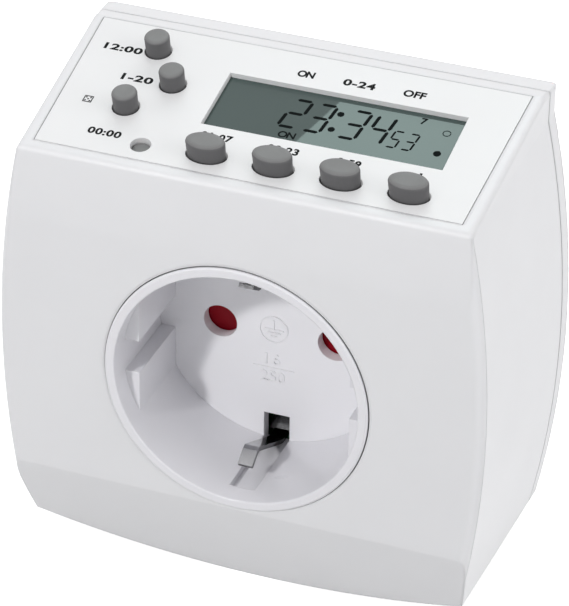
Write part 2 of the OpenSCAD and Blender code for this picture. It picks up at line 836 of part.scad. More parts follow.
module live_contact() color("goldenrod") from_front() {
    clip();
    block([pin_x + clip_w / 2 - 1, main_back + 4, leaf_z - metal_t / 2 + 0.05],
          [tail_x + metal_t, main_back + 8, leaf_z + metal_t / 2]);
    block([tail_x, main_back, -2], [tail_x + metal_t, main_back + 8, leaf_z + metal_t / 2]);
}

module neutral_contact() color("goldenrod") from_front() {
    mirror([1, 0, 0]) clip();
    block([-pin_x - 2, clip_back, -metal_t / 2], [-pin_x + 2, pin_root_d, metal_t / 2]);
}

feed_z = 12;

module live_feed() color("goldenrod") from_front() sweep_x(pin_x - 2, pin_x + 0.5)
    polygon(ribbon([[pin_root_d - metal_t / 2, -1.5], [pin_root_d - metal_t / 2, 1.5],
                    [pin_root_d - 4, feed_z], [main_back, feed_z]], metal_t));

// Earth strap, from the sprung end in the socket to the contact on the side of the plug
strap_z = earth_z - metal_t / 2;
earth_line = [
    [4.2, earth_reach + 1.85], [6.45, earth_reach + 0.41], [7.1, earth_reach + 0.25],
    [7.75, earth_reach + 0.55], [recess_depth - 1.2, recess_r - 0.4], [recess_depth, recess_r + 0.05],
    [floor_d + 0.6, recess_r + 0.05], [main_d - 0.4, strap_z], [body_depth + plug_len - 2, strap_z]
];
earth_tail = [for (i = [6 : len(earth_line) - 1]) earth_line[i]];

module earth_strap() from_front() {
    sweep_x(earth_x - earth_clip_w / 2, earth_x + earth_clip_w / 2) polygon(ribbon(earth_line, metal_t));
    sweep_x(earth_x - earth_w / 2, earth_x + earth_w / 2) polygon(ribbon(earth_tail, metal_t));
}

module earth_strap_upper() color("silver") earth_strap();
module earth_strap_lower() color("silver") mirror([0, 0, 1]) earth_strap();

module earth_bridge() color("silver") from_front()
    block([earth_x - earth_w / 2, main_back + 1.9, -(earth_z - metal_t)],
          [earth_x + earth_w / 2, main_back + 1.9 + metal_t, earth_z - metal_t]);

pin_tip_r = 1.6;

// Pins with rounded tips; their roots end inside the plug body
module plug_pins() color("silver") for (s = [-1, 1]) translate([s * pin_x, 0, 0]) {
    root = front_y + pin_root_d;
    along_y() rotate_extrude() {
        translate([0, root]) square([pin_root_r, eps - root]);
        square([pin_r, pin_len - pin_tip_r]);
        intersection() {
            translate([pin_r - pin_tip_r, pin_len - pin_tip_r]) circle(r = pin_tip_r, $fn = 48);
            translate([0, pin_len - pin_tip_r - eps]) square([pin_r, 2]);
        }
        translate([0, pin_len - pin_tip_r]) square([pin_r - pin_tip_r, pin_tip_r]);
    }
}

/* ---------- main board ---------- */

main_hole_r = 14;

module main_board() color("darkgreen") from_front() slab(main_d, main_back) difference() {
    intersection() {
        translate([-half_w + wall + 3.4, -bottom_h + wall + 3.9])
            square([body_w - 2 * wall - 6.8, bottom_h - wall - 3.9 + upper_break + 0.5]);
        translate([0, bottom_r - bottom_h]) circle(r = bottom_r - wall - 0.6, $fn = big_fn);
    }
    circle(r = main_hole_r);
    for (s = [-1, 1]) translate([earth_x - earth_w / 2 - 0.5, s * (earth_z + 0.6) - 2.2])
        square([earth_w + 1, 4.4]);
    for (i = [0, 1], s = [-1, 1]) translate([s * post_x[i], post_z[i]]) circle(r = post_r + 0.4);
}

relay_size = [12.2, 15.5, 29];
capacitor_size = [11, 17.5, 24];
side_bay = flange_r - 0.8;

module relay() color("black") from_front()
    block([-side_bay - relay_size[0], main_d - relay_size[1], -19],
          [-side_bay, main_d, -19 + relay_size[2]]);

module mains_capacitor() color("gold") from_front()
    block([side_bay, main_d - capacitor_size[1], -17], [side_bay + capacitor_size[0], main_d,
          -17 + capacitor_size[2]]);

low_bay = -(insert_r + 6.2);

module smoothing_capacitor() color("navy") from_front() rod(-9, low_bay - 0.3, main_d - 12, main_d, 5);

module varistor() color("royalblue") from_front() translate([6, main_d - 5.5, low_bay]) {
    rotate([0, 90, 0]) cylinder(r = 4.6, h = 3.6, center = true);
    for (s = [-1, 1]) rod(0, s * 2.5, 0, 5.5, 0.3);
}

module fuse() color("saddlebrown") from_front() rod(19, -25, main_d - 8, main_d, 4);

// Small part on its leads, with its body along X
module leaded(x, z, r, l) {
    for (s = [-1, 1]) rod(x + s * l / 2, z, main_d - r - 0.5, main_d, 0.3);
    translate([x, main_d - r - 0.5, z]) rotate([0, 90, 0]) cylinder(r = r, h = l + 0.8, center = true);
}

module resistors() color("tan") from_front() {
    leaded(-21, -24.5, 1.2, 5.5);
    leaded(-21, -28.5, 1.2, 5.5);
}

module diodes() color("black") from_front() {
    leaded(-26.5, 14, 1, 4);
    leaded(26.5, 11, 1, 4);
    leaded(26.5, 14.5, 1, 4);
}

battery_r = 6.5;

module backup_battery() color("silver") on_panel(12, 17, board_h - board_t - 5.2)
    cylinder(r = battery_r, h = 5.2);

// Flat cable from the underside of the control board to the main board
cable_t = 0.9;
cable_end = [main_d - cable_t / 2, upper_break - 1.5];
cable_start = let (t = 17) [0, crease_h] + panel_d * t + panel_n * (board_h - board_t);

module ribbon_cable() color("lightgray") from_front() sweep_x(-16, -6)
    polygon(ribbon([cable_start, cable_start + [0.6, -2.4], [cable_end[0] - 2, cable_end[1] + 4.6],
                    cable_end + [0, 2], cable_end - [0, 0.8]], cable_t));

front_shell();
rear_cover();
plug_body();
panel_plate();
housing_screws();
board_screws();
display_cell();
display_frame();
contact_strips();
control_board();
key_switches();
backup_battery();
ribbon_cable();
key_clock();
key_program();
key_random();
key_reset();
key_day();
key_hour();
key_minute();
key_mode();
socket_insert();
socket_floor();
shutter();
shutter_spring();
shutter_washer();
live_contact();
neutral_contact();
live_feed();
earth_strap_upper();
earth_strap_lower();
earth_bridge();
plug_pins();
main_board();
relay();
mains_capacitor();
smoothing_capacitor();
varistor();
fuse();
resistors();
diodes();
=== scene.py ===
"""Looks of a plug-in weekly timer switch: finishes, printing, display, stage, lamps and camera.

The construction model comes first, as a fixed frame in metres: X to the right, Z up, Y towards
the wall, with the origin on the plug face between the two pins. Everything here rides on it.
"""

import logging
import math
from dataclasses import dataclass, field
from enum import Enum
from typing import Iterable

import bmesh
import bpy
from mathutils import Matrix, Vector


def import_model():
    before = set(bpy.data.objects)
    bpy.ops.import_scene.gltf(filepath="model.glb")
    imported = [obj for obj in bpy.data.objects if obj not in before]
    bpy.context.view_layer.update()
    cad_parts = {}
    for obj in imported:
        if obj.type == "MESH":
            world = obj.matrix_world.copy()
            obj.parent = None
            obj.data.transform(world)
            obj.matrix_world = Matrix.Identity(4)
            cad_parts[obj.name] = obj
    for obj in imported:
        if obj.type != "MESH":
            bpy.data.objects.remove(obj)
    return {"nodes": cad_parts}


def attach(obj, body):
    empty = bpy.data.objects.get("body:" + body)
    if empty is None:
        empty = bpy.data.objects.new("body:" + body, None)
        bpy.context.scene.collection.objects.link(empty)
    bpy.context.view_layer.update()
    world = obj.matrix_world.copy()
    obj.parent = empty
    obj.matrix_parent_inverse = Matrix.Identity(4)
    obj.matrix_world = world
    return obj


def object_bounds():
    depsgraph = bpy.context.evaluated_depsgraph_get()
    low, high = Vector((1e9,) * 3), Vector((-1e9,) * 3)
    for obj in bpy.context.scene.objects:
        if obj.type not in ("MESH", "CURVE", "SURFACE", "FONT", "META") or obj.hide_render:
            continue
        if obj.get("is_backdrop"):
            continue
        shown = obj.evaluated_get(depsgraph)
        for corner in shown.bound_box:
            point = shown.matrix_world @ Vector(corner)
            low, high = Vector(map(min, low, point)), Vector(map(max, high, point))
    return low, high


LOG = logging.getLogger("timer_switch")

MM = 0.001
BODY = "housing"

Object = bpy.types.Object
Mesh = bpy.types.Mesh
Corner = bmesh.types.BMVert
Material = bpy.types.Material
Group = bpy.types.NodeTree
Node = bpy.types.Node
Socket = bpy.types.NodeSocket
Outputs = bpy.types.bpy_prop_collection

Colour = tuple[float, float, float]
Point2 = tuple[float, float]
Vector3 = tuple[float, float, float]
Corners = tuple[Point2, Point2]

WHITE = (1.0, 1.0, 1.0)
DUST = (0.62, 0.6, 0.57)
# colours of painted shade: seams, covered metal and the gaps around keys
PAINTED_SEAM_SHADE = (0.02, 0.02, 0.022)
PAINTED_METAL_SHADE = (0.015, 0.015, 0.016)
PAINTED_KEYHOLE_SHADE = (0.01, 0.01, 0.01)


def placed(name: str, data: bpy.types.ID) -> Object:
    """Makes an object of the scene.

    Args:
        name: Its name.
        data: Its mesh, letters, lamp or camera.

    Returns:
        The new object.
    """
    obj = bpy.data.objects.new(name, data)
    bpy.context.scene.collection.objects.link(obj)
    return obj


def mm(point: Point2) -> Point2:
    """Turns a point of a drawing from millimetres into metres."""
    return point[0] * MM, point[1] * MM


# ---- control panel


@dataclass(frozen=True)
class ControlPanel:
    """The sloping control panel as a drawing board: x across, t up the slope, h above it."""

    front_y: float = -0.0561  # Y of the flat front of the housing, in m
    crease_z: float = 0.0341  # Z of the crease between front and panel, in m
    slope: float = 12.8  # slope of the panel above the horizontal, in degrees

    def matrix(self, h: float = 0.0) -> Matrix:
        """Gives the transform of a drawing that lies at a height above the panel.

        Args:
            h: Height above the panel's surface, in m.

        Returns:
            The matrix from the drawing's own X, Y and Z to the object's frame.
        """
        tilt = Matrix.Rotation(math.radians(self.slope), 4, "X")
        base = Matrix.Translation((0.0, self.front_y, self.crease_z))
        return base @ tilt @ Matrix.Translation((0.0, 0.0, h))

    def up(self) -> Vector3:
        """Gives the direction that the panel looks in."""
        return 0.0, -math.sin(math.radians(self.slope)), math.cos(math.radians(self.slope))


PANEL = ControlPanel()
GLASS_H = -0.85 * MM


# ---- node trees


FLOAT, COLOUR, VECTOR = "NodeSocketFloat", "NodeSocketColor", "NodeSocketVector"
MASK_OUT = (("Mask", FLOAT),)
SKIN_OUT = (("Colour", COLOUR), ("Roughness", FLOAT), ("Height", FLOAT))
NODE_LAYOUT = (190, -160, 4)  # step across, step down, and rows
GREY = (0.8, 0.8, 0.8, 1.0)
SKIN_IN = (
    ("Tone", COLOUR, GREY),
    ("Shade", COLOUR, GREY),
    ("Gloss Low", FLOAT, 0.3),
    ("Gloss High", FLOAT, 0.4),
)


class NodeSheet:
    """A node tree with short calls for adding and linking nodes."""

    def __init__(self, tree: Group) -> None:
        """Takes over an existing tree."""
        self.tree = tree
        self.column = 0

    def add(self, kind: str, **settings: object) -> Node:
        """Adds a node and fills in its properties and unlinked inputs.

        Args:
            kind: The node's Blender type.
            **settings: Properties of the node by name, or inputs by name with spaces
                written as underscores, or inputs by number as i0, i1 and so on.

        Returns:
            The new node.
        """
        node = self.tree.nodes.new(kind)
        across, down, rows = NODE_LAYOUT
        node.location = (self.column * across, (self.column % rows) * down)
        self.column += 1
        for key, value in settings.items():
            if key[0] == "i" and key[1:].isdigit():
                self.feed(node, int(key[1:]), value)
            elif hasattr(node, key):
                setattr(node, key, value)
            else:
                self.feed(node, key.replace("_", " "), value)
        return node

    def feed(self, node: Node, socket: str | int, value: object) -> None:
        """Sets an input to a value, or links it to an output socket.

        Args:
            node: The node.
            socket: Name or number of its input.
            value: The output socket or the value, a colour without its alpha.
        """
        end = node.inputs[socket]
        if isinstance(value, Socket):
            self.tree.links.new(value, end)
        else:
            end.default_value = (*value, 1.0) if end.type == "RGBA" else value

    def place(self) -> Socket:
        """Adds the coordinates on the object and returns them."""
        return self.add("ShaderNodeTexCoord").outputs["Object"]

    def geometry(self, output: str) -> Socket:
        """Adds a Geometry node and returns one of its outputs."""
        return self.add("ShaderNodeNewGeometry").outputs[output]

    def noise(self, place: object, scale: object, detail: float, rough: float = 0.5) -> Socket:
        """Adds a noise texture and returns its value."""
        settings = {"Vector": place, "Scale": scale, "Detail": detail, "Roughness": rough}
        return self.add("ShaderNodeTexNoise", **settings).outputs[0]

    def maths(self, operation: str, a: object, b: object, clamp: bool = False) -> Socket:
        """Adds a Math node and returns its output."""
        settings = {"operation": operation, "use_clamp": clamp, "i0": a, "i1": b}
        return self.add("ShaderNodeMath", **settings).outputs[0]

    def vector(self, operation: str, a: object, b: object = (0.0, 0.0, 0.0)) -> Node:
        """Adds a Vector Math node."""
        return self.add("ShaderNodeVectorMath", operation=operation, i0=a, i1=b)

    def dot(self, a: object, b: object) -> Socket:
        """Adds a dot product and returns its value."""
        return self.vector("DOT_PRODUCT", a, b).outputs["Value"]

    def blend(self, factor: object, a: object, b: object) -> Socket:
        """Adds a colour mix from a to b and returns its result."""
        settings = {"data_type": "RGBA", "clamp_factor": True, "i0": factor, "i6": a, "i7": b}
        return self.add("ShaderNodeMix", **settings).outputs[2]

    def stretch(
        self, value: object, low: object, high: object, to_low: object = 0.0, to_high: object = 1.0
    ) -> Socket:
        """Adds a clamped Map Range node and returns its result."""
        settings = {"i0": value, "i1": low, "i2": high, "i3": to_low, "i4": to_high}
        return self.add("ShaderNodeMapRange", clamp=True, **settings).outputs[0]


class Effect(NodeSheet):
    """The tree of one shared effect, a node group with named sockets."""

    def __init__(self, name: str, inputs: Iterable[tuple], outputs: Iterable[tuple]) -> None:
        """Makes the group with its sockets and its input and output nodes.

        Args:
            name: The group's name.
            inputs: Name, socket type and default of each input.
            outputs: Name and socket type of each output.
        """
        tree = bpy.data.node_groups.new(name, "ShaderNodeTree")
        for label, kind, default in inputs:
            socket = tree.interface.new_socket(label, in_out="INPUT", socket_type=kind)
            socket.default_value = default
        for label, kind in outputs:
            tree.interface.new_socket(label, in_out="OUTPUT", socket_type=kind)
        super().__init__(tree)
        self.given = self.add("NodeGroupInput").outputs
        self.end = self.add("NodeGroupOutput")

    def give(self, *values: Socket) -> Group:
        """Links the group's outputs in order.

        Args:
            *values: The socket that feeds each output.

        Returns:
            The finished group.
        """
        for index, value in enumerate(values):
            self.feed(self.end, index, value)
        return self.tree


class Effects:
    """The shared surface effects, each built once as a node group."""

    def __init__(self) -> None:
        """Builds all the groups."""
        self.moulding = self._moulding()
        self.drawn_metal = self._drawn_metal()
        self.rounded_edge_highlight = self._rounded_edge_highlight()
        self.crevice_shade = self._crevice_shade()
        self.settled_dust = self._settled_dust()

    @staticmethod
    def _moulding() -> Group:
        """Moulded plastic: fine grain, slow flow marks, and the colour and gloss they give.

        Returns:
            The group.
        """
        inputs = (("Grain", FLOAT, 4000.0), ("Flow", FLOAT, 60.0))
        sheet = Effect("Moulding", SKIN_IN + inputs, SKIN_OUT)
        given, place = sheet.given, sheet.place()
        flow = sheet.noise(place, given["Flow"], 3.0, 0.55)
        grain = sheet.noise(place, given["Grain"], 2.0, 0.6)
        spots = sheet.maths("MULTIPLY", given["Grain"], 0.6)
        fleck = sheet.add("ShaderNodeTexVoronoi", Vector=place, Scale=spots).outputs[0]
        relief = sheet.maths("ADD", sheet.maths("MULTIPLY", fleck, 0.35), grain)
        cloud = sheet.maths("ADD", sheet.maths("MULTIPLY", grain, 0.05), flow)
        share = sheet.stretch(cloud, 0.3, 0.8)
        colour = sheet.blend(share, given["Tone"], given["Shade"])
        gloss = sheet.stretch(share, 0.0, 1.0, given["Gloss Low"], given["Gloss High"])
        return sheet.give(colour, gloss, relief)

    @staticmethod
    def _drawn_metal() -> Group:
        """Plated or rolled metal: fine streaks along one axis and a slow change of tone.

        Returns:
            The group.
        """
        inputs = (("Stretch", VECTOR, (1.0, 0.05, 1.0)), ("Streaks", FLOAT, 2500.0))
        sheet = Effect("Drawn Metal", SKIN_IN + inputs, SKIN_OUT)
        given, place = sheet.given, sheet.place()
        drawn = sheet.vector("MULTIPLY", place, given["Stretch"]).outputs[0]
        streak = sheet.noise(drawn, given["Streaks"], 4.0)
        share = sheet.stretch(sheet.noise(place, 240.0, 3.0), 0.4, 0.7)
        colour = sheet.blend(share, given["Tone"], given["Shade"])
        gloss = sheet.stretch(streak, 0.3, 0.7, given["Gloss Low"], given["Gloss High"])
        return sheet.give(colour, gloss, streak)

    @staticmethod
    def _rounded_edge_highlight() -> Group:
        """Mask of a painted highlight on sharp edges, with the normal that rounds them.

        Where the rounded normal turns too far from the face, the face's own normal stays.

        Returns:
            The group.
        """
        inputs = (("Radius", FLOAT, 0.00015), ("Reach", FLOAT, 6.0))
        sheet = Effect("Rounded Edge Highlight", inputs, MASK_OUT + (("Normal", VECTOR),))
        soft = sheet.add("ShaderNodeBevel", samples=4, Radius=sheet.given["Radius"]).outputs[0]
        face = sheet.geometry("Normal")
        along = sheet.dot(soft, face)
        turned = sheet.maths("SUBTRACT", 1.0, along, clamp=True)
        uneven = sheet.noise(sheet.place(), 900.0, 2.0)
        reached = sheet.maths("MULTIPLY", turned, sheet.given["Reach"])
        mask = sheet.maths("MULTIPLY", reached, uneven, clamp=True)
        near = sheet.stretch(along, 0.45, 0.62)
        kept = sheet.add("ShaderNodeMix", data_type="VECTOR", i0=near, i4=face, i5=soft)
        normal = sheet.vector("NORMALIZE", kept.outputs[1]).outputs[0]
        return sheet.give(sheet.maths("MULTIPLY", mask, near), normal)

    @staticmethod
    def _crevice_shade() -> Group:
        """Mask of painted shade in the narrow seams and gaps in which little light is left.

        Returns:
            The group.
        """
        inputs = (("Reach", FLOAT, 0.0006), ("Closed", FLOAT, 0.08), ("Open", FLOAT, 0.42))
        sheet = Effect("Crevice Shade", inputs, MASK_OUT)
        given = sheet.given
        node = sheet.add("ShaderNodeAmbientOcclusion", samples=6, Distance=given["Reach"])
        free = node.outputs["AO"]
        return sheet.give(sheet.stretch(free, given["Closed"], given["Open"], 1.0, 0.0))

    @staticmethod
    def _settled_dust() -> Group:
        """Mask of the faint dust that settles on faces that look up.

        Returns:
            The group.
        """
        inputs = (("Amount", FLOAT, 0.05), ("Specks", FLOAT, 1500.0))
        sheet = Effect("Settled Dust", inputs, MASK_OUT)
        up = sheet.add("ShaderNodeSeparateXYZ", i0=sheet.geometry("Normal")).outputs["Z"]
        lying = sheet.stretch(up, 0.3, 1.0)
        specks = sheet.noise(sheet.place(), sheet.given["Specks"], 5.0, 0.7)
        cover = sheet.stretch(specks, 0.45, 0.75, 0.0, sheet.given["Amount"])
        return sheet.give(sheet.maths("MULTIPLY", lying, cover))


class Surface(NodeSheet):
    """The tree of one material, with its Principled shader."""

    def __init__(self, name: str) -> None:
        """Makes a material whose tree holds only its Principled shader and its output.

        Args:
            name: The material's name.
        """
        self.material = bpy.data.materials.new(name)
        self.material.use_nodes = True
        self.material.node_tree.nodes.clear()
        super().__init__(self.material.node_tree)
        self.shader = self.add("ShaderNodeBsdfPrincipled")
        self.add("ShaderNodeOutputMaterial", Surface=self.shader.outputs[0])

    def use(self, group: Group, **values: object) -> Outputs:
        """Adds a node group with the values of its inputs, and returns its outputs."""
        return self.add("ShaderNodeGroup", node_tree=group, **values).outputs

    def keep(self, **values: object) -> Material:
        """Sets or links inputs of the shader.

        Args:
            **values: Inputs by name, with spaces written as underscores.

        Returns:
            The material.
        """
        for label, value in values.items():
            self.feed(self.shader, label.replace("_", " "), value)
        return self.material


# ---- finishes


@dataclass(frozen=True)
class Recipe:
    """What every finish has: two tones, a range of gloss, a relief and soft edges."""

    name: str
    tone: Colour  # its main colour
    shade: Colour  # its darker or duller colour
    gloss: Point2 = (0.36, 0.46)  # lowest and highest roughness
    relief: float = 0.000003  # depth of its grain or streaks, in m
    edge: float = 0.00012  # radius of its rounded edges and of their painted highlight, in m

    def skin(self, surface: Surface, group: Group, **values: object) -> Outputs:
        """Adds the group that gives colour, gloss and height.

        Args:
            surface: The material's tree.
            group: The group.
            **values: Its other inputs.

        Returns:
            Its outputs.
        """
        low, high = self.gloss
        looks = {"Tone": self.tone, "Shade": self.shade, "Gloss_Low": low, "Gloss_High": high}
        return surface.use(group, **looks, **values)

    def finished(self, surface: Surface, colour: Socket, skin: Outputs, edge: Outputs) -> Material:
        """Links colour, gloss and relief to the shader.

        Args:
            surface: The material's tree.
            colour: The finished colour.
            skin: Outputs of the group that gives gloss and height.
            edge: Outputs of the rubbed edge.

        Returns:
            The material.
        """
        relief = {"Distance": self.relief, "Height": skin["Height"], "Normal": edge["Normal"]}
        bump = surface.add("ShaderNodeBump", Strength=1.0, **relief).outputs[0]
        return surface.keep(Base_Color=colour, Roughness=skin["Roughness"], Normal=bump)


@dataclass(frozen=True)
class Plastic(Recipe):
    """A moulded plastic, darker where the melt flowed last."""

    grain: float = 3600.0  # scale of the mould's texture, per metre
    dust: float = 0.0  # share of the dust on faces that look up
    scatter: float = 0.0  # share of light that scatters under the surface
    painted_shade: float = 0.0  # share of painted shade in narrow seams
    shine: float = 0.5  # strength of the mirrored light, 0.5 for a common plastic

    def build(self, effects: Effects) -> Material:
        """Builds the material.

        Args:
            effects: The shared effects.

        Returns:
            The new material.
        """
        surface = Surface(self.name)
        skin = self.skin(surface, effects.moulding, Grain=self.grain)
        edge = surface.use(effects.rounded_edge_highlight, Radius=self.edge)
        # painted highlight: sharp edges lean to the lighter tone
        colour = surface.blend(edge["Mask"], skin["Colour"], self.tone)
        if self.dust > 0:
            dust = surface.use(effects.settled_dust, Amount=self.dust)
            colour = surface.blend(dust["Mask"], colour, DUST)
        # painted shade: narrow seams and gaps turn darker
        if self.painted_shade > 0:
            crevice_shade = surface.use(effects.crevice_shade)
            share = surface.maths("MULTIPLY", crevice_shade["Mask"], self.painted_shade)
            colour = surface.blend(share, colour, PAINTED_SEAM_SHADE)
        surface.keep(
            Specular_IOR_Level=self.shine,
            Subsurface_Weight=self.scatter,
            Subsurface_Radius=(1.0, 0.9, 0.8),
            Subsurface_Scale=0.0008,
        )
        return self.finished(surface, colour, skin, edge)


@dataclass(frozen=True)
class Metal(Recipe):
    """A plated, rolled or drawn metal."""

    gloss: Point2 = (0.16, 0.3)
    relief: float = 0.000002
    edge: float = 0.00008
    streaks: float = 2600.0  # scale of its streaks, per metre
    along: Vector3 = (1.0, 0.06, 1.0)  # scale of the streaks along each axis
    bright: float = 1.12  # how much brighter its painted edge highlight is
    painted_shade: float = 0.0  # reach of the painted shade in covered places, in m

    def build(self, effects: Effects) -> Material:
        """Builds the material.

        Args:
            effects: The shared effects.

        Returns:
            The new material.
        """
        surface = Surface(self.name)
        streaks = {"Stretch": self.along, "Streaks": self.streaks}
        skin = self.skin(surface, effects.drawn_metal, **streaks)
        edge = surface.use(effects.rounded_edge_highlight, Radius=self.edge)
        # painted highlight: sharp edges turn brighter
        bright = tuple(min(1.0, c * self.bright) for c in self.tone)
        colour = surface.blend(edge["Mask"], skin["Colour"], bright)
        # painted shade: covered places of the metal turn dark
        if self.painted_shade > 0:
            crevice_shade = surface.use(effects.crevice_shade, Reach=self.painted_shade, Closed=0.35, Open=0.95)
            colour = surface.blend(crevice_shade["Mask"], colour, PAINTED_METAL_SHADE)
        surface.keep(Metallic=1.0)
        return self.finished(surface, colour, skin, edge)


@dataclass(frozen=True)
class KeyCap(Recipe):
    """The satin grey of the keys, with painted shade that makes their sides darker than their
    tops.
    """

    gloss: Point2 = (0.5, 0.62)
    relief: float = 0.000004
    edge: float = 0.00022
    painted_side_shade: Colour = (0.095, 0.094, 0.097)  # painted shade: colour of the sides
    up: Vector3 = PANEL.up()  # direction of the faces that keep the top colour

    def build(self, effects: Effects) -> Material:
        """Builds the material.

        Args:
            effects: The shared effects.

        Returns:
            The new material.
        """
        surface = Surface(self.name)
        skin = self.skin(surface, effects.moulding, Grain=5200.0, Flow=300.0)
        edge = surface.use(effects.rounded_edge_highlight, Radius=self.edge, Reach=3.0)
        # painted shade: faces that turn away from the panel's up direction get the darker side
        # colour
        facing_up_share = surface.stretch(surface.dot(edge["Normal"], self.up), 0.25, 0.85)
        colour = surface.blend(facing_up_share, self.painted_side_shade, skin["Colour"])
        # painted shade in the gap around each key
        crevice_shade = surface.use(effects.crevice_shade)
        colour = surface.blend(crevice_shade["Mask"], colour, PAINTED_KEYHOLE_SHADE)
        return self.finished(surface, colour, skin, edge)


@dataclass(frozen=True)
class DisplayFilm(Recipe):
    """The grey-green film of the display under its clear, glossy glass."""

    def build(self, effects: Effects) -> Material:
        """Builds the material: a fine film under a smooth coat.

        Args:
            effects: The shared effects.

        Returns:
            The new material.
        """
        surface = Surface(self.name)
        skin = self.skin(surface, effects.moulding, Grain=9000.0, Flow=45.0)
        return surface.keep(
            Base_Color=skin["Colour"],
            Roughness=skin["Roughness"],
            Specular_IOR_Level=0.1,
            Coat_Weight=1.0,
            Coat_Roughness=0.012,
            Coat_IOR=1.5,
        )


@dataclass(frozen=True)
class CircuitBoard(Recipe):
    """Solder mask over copper tracks, which are raised and lighter."""

    track: Colour = (0.035, 0.19, 0.07)  # colour of the mask over a track
    pitch: float = 260.0  # scale of the tracks, per metre

    def build(self, effects: Effects) -> Material:
        """Builds the material: solder mask and a net of tracks.

        Args:
            effects: The shared effects.

        Returns:
            The new material.
        """
        surface = Surface(self.name)
        skin = self.skin(surface, effects.moulding)
        cells = {"feature": "DISTANCE_TO_EDGE", "Vector": surface.place(), "Scale": self.pitch}
        net = surface.add("ShaderNodeTexVoronoi", **cells).outputs[0]
        track = surface.stretch(net, 0.06, 0.08, 1.0, 0.0)
        bump = surface.add("ShaderNodeBump", Strength=1.0, Distance=self.relief, Height=track)
        return surface.keep(
            Base_Color=surface.blend(track, skin["Colour"], self.track),
            Roughness=skin["Roughness"],
            Normal=bump.outputs[0],
        )


SMOOTH = {"relief": 0.0000008, "edge": 0.0002, "scatter": 0.05}
PRINT = {"relief": 0.000001, "edge": 0.00001}


class Finish(Enum):
    """The finishes of the object's pieces."""

    SHELL = Plastic(
        "shell_white", (0.77, 0.77, 0.783), (0.755, 0.755, 0.769), (0.36, 0.44),
        edge=0.0008, dust=0.015, scatter=0.05, painted_shade=0.5,
    )
    PLATE = Plastic(
        "plate_white", (0.8, 0.8, 0.803), (0.788, 0.788, 0.792), (0.4, 0.5),
        edge=0.0001, scatter=0.05,
    )
    # Lighter than the other whites: painted light on the floor of the deep recess
    FLOOR = Plastic(
        "recess_white_lit", (0.89, 0.885, 0.91), (0.875, 0.87, 0.896), (0.3, 0.38),
        painted_shade=0.8, **SMOOTH,
    )
    SOCKET = Plastic(
        "socket_white", (0.79, 0.784, 0.812), (0.775, 0.77, 0.8), (0.26, 0.34),
        painted_shade=0.95, **SMOOTH,
    )
    PLUG = Plastic(
        "plug_white", (0.8, 0.8, 0.815), (0.78, 0.78, 0.797), (0.38, 0.5), dust=0.03, scatter=0.06
    )
    KEY = KeyCap("key_grey", (0.19, 0.19, 0.19), (0.1767, 0.1767, 0.1767))
    SHUTTER = Plastic(
        "shutter_red", (0.3, 0.003, 0.012), (0.25, 0.002, 0.009), (0.28, 0.38),
        grain=5000.0, shine=0.12,
    )
    INK = Plastic(
        "label_ink", (0.006, 0.006, 0.0065), (0.01, 0.01, 0.0105), (0.6, 0.75),
        shine=0.1, **PRINT,
    )
    SEGMENT = Plastic(
        "display_dark", (0.004, 0.006, 0.006), (0.006, 0.009, 0.009), (0.75, 0.9),
        shine=0.05, **PRINT,
    )
    FAINT = Plastic(
        "display_faint", (0.018, 0.03, 0.028), (0.022, 0.036, 0.034), (0.75, 0.9),
        shine=0.05, **PRINT,
    )
    FILM = DisplayFilm("display_film", (0.032, 0.058, 0.054), (0.028, 0.052, 0.048), (0.4, 0.5))
    BOARD = CircuitBoard(
        "solder_mask", (0.012, 0.09, 0.035), (0.0102, 0.0765, 0.02975), (0.22, 0.34), 0.00003
    )
    ZINC = Metal("zinc_steel", (0.62, 0.64, 0.66), (0.5, 0.5, 0.48), (0.24, 0.4))
    NICKEL = Metal("bright_nickel", (0.74, 0.73, 0.72), (0.64, 0.63, 0.61), (0.1, 0.2))
    STRAP = Metal(
        "strap_steel", (0.42, 0.42, 0.435), (0.38, 0.38, 0.39), (0.12, 0.2), painted_shade=0.012
    )
    # A darker, rougher copy of the strap steel: painted shade on the upper strap, which is the
    # same metal
    SHADED_CLIP = Metal("clip_steel_shaded", (0.3, 0.3, 0.31), (0.26, 0.26, 0.27), (0.4, 0.55), painted_shade=0.012)
    SPRING = Metal("spring_wire", (0.55, 0.55, 0.56), (0.42, 0.42, 0.42), (0.14, 0.26))
    BRASS = Metal("contact_brass", (0.78, 0.56, 0.24), (0.6, 0.4, 0.16), (0.18, 0.34))
    CELL = Metal("battery_steel", (0.68, 0.68, 0.67), (0.58, 0.58, 0.56), along=(1.0, 1.0, 0.1))
    FRAME = Plastic("frame_grey", (0.6, 0.6, 0.6), (0.55, 0.55, 0.55))
    STRIP = Plastic("strip_rubber", (0.16, 0.15, 0.16), (0.1, 0.1, 0.1), (0.6, 0.75))
    BLACK = Plastic("case_black", (0.022, 0.022, 0.023), (0.03, 0.03, 0.031), (0.34, 0.46))
    CABLE = Plastic("cable_grey", (0.5, 0.5, 0.52), (0.42, 0.42, 0.44), (0.4, 0.5))
    YELLOW = Plastic("capacitor_yellow", (0.62, 0.4, 0.03), (0.55, 0.34, 0.03), (0.24, 0.34))
    BLUE = Plastic("capacitor_blue", (0.02, 0.05, 0.2), (0.02, 0.04, 0.15), (0.2, 0.3))
    DISC = Plastic("varistor_blue", (0.04, 0.12, 0.36), (0.03, 0.09, 0.3), (0.3, 0.42))
    BROWN = Plastic("fuse_brown", (0.2, 0.08, 0.03), (0.16, 0.06, 0.02), (0.3, 0.4))
    TAN = Plastic("resistor_tan", (0.55, 0.4, 0.24), (0.48, 0.34, 0.2), (0.35, 0.5))


